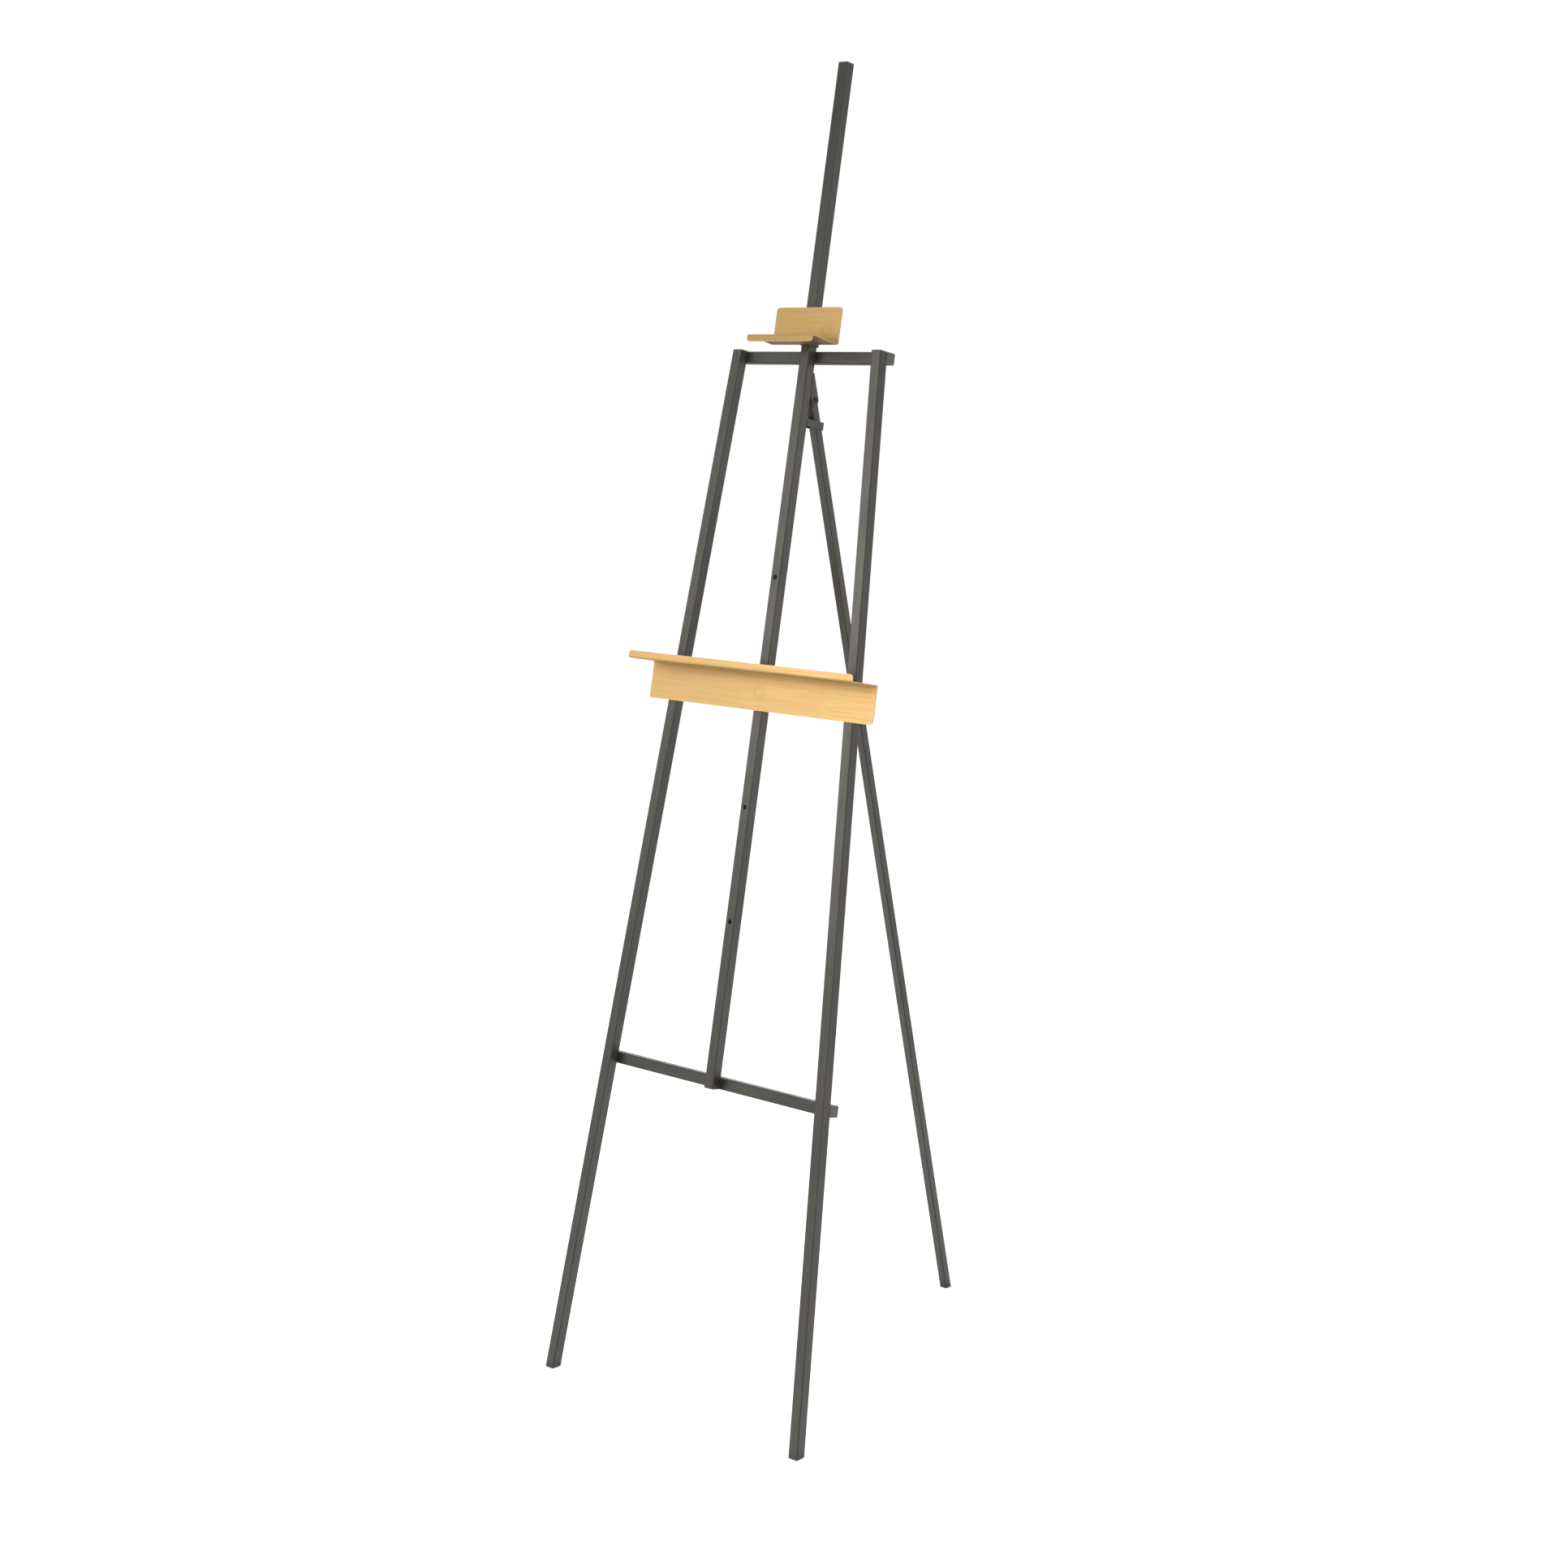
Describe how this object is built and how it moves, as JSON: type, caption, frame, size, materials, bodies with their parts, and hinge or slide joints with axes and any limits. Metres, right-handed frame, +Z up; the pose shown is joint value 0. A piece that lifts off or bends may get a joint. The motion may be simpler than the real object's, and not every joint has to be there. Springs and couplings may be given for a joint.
{
  "type": "tripod field easel",
  "caption": "Tripod field easel of dark square steel tube with a tall centre mast, a folding rear leg, a wide brass-finished lower tray and a sliding upper holder.",
  "frame": {"origin": "on the floor, centred between the front feet and the rear foot", "axes": "+Z up, +X to the viewer's right, +Y towards the rear leg"},
  "size_m": [0.457, 0.605, 1.74],
  "materials": {
    "gunmetal_paint": "satin",
    "brass_finish": "brushed",
    "turned_brass": "machined",
    "zinc_steel": "satin",
    "black_steel": "satin",
    "black_plastic": "matte"
  },
  "bodies": {
    "front_frame": {"left_front_leg": "gunmetal_paint", "right_front_leg": "gunmetal_paint", "mast": "gunmetal_paint", "top_crossbar": "gunmetal_paint", "lower_crossbar": "gunmetal_paint", "weld_beads": "gunmetal_paint", "left_foot_plug": "black_plastic", "right_foot_plug": "black_plastic", "left_leg_cap": "black_plastic", "right_leg_cap": "black_plastic", "mast_top_cap": "black_plastic", "mast_bottom_cap": "black_plastic", "crossbar_caps": "black_plastic", "hinge_bracket": "gunmetal_paint", "hinge_bolt": "black_steel", "hinge_washer": "black_steel", "hinge_nut": "black_steel", "stop_strap": "gunmetal_paint", "tray_washer": "zinc_steel"},
    "rear_strut": {"rear_leg": "gunmetal_paint", "pivot_block": "black_plastic", "rear_foot_plug": "black_plastic"},
    "tray_carrier": {"lower_tray": "brass_finish", "tray_stud": "zinc_steel"},
    "tray_nut": {"tray_knob": "black_plastic", "tray_knob_insert": "turned_brass"},
    "holder": {"upper_holder": "brass_finish", "holder_saddle": "gunmetal_paint", "clamp_boss": "gunmetal_paint"},
    "clamp": {"clamp_screw": "zinc_steel", "clamp_knob": "black_plastic"}
  },
  "joints": [
    {"name": "rear_leg_fold", "type": "hinge", "parent": "front_frame", "child": "rear_strut", "pos_m": [0, -0.01353, 1.30666], "axis": [-1, 0, 0], "range_deg": [0, 23.2]},
    {"name": "tray_lift_off", "type": "slide", "parent": "front_frame", "child": "tray_carrier", "axis": [0, -0.9803, 0.1977], "range_m": [0, 0.035]},
    {"name": "tray_knob_spin", "type": "hinge", "parent": "front_frame", "child": "tray_nut", "pos_m": [0, -0.09296, 0.92789], "axis": [0, 0.9803, -0.1977], "continuous": true},
    {"name": "holder_slide", "type": "slide", "parent": "front_frame", "child": "holder", "axis": [0, 0.1977, 0.9803], "range_m": [-0.0034, 0.3206]},
    {"name": "clamp_spin", "type": "hinge", "parent": "holder", "child": "clamp", "pos_m": [0, 0.00944, 1.39527], "axis": [0, 0.9803, -0.1977], "continuous": true}
  ]
}
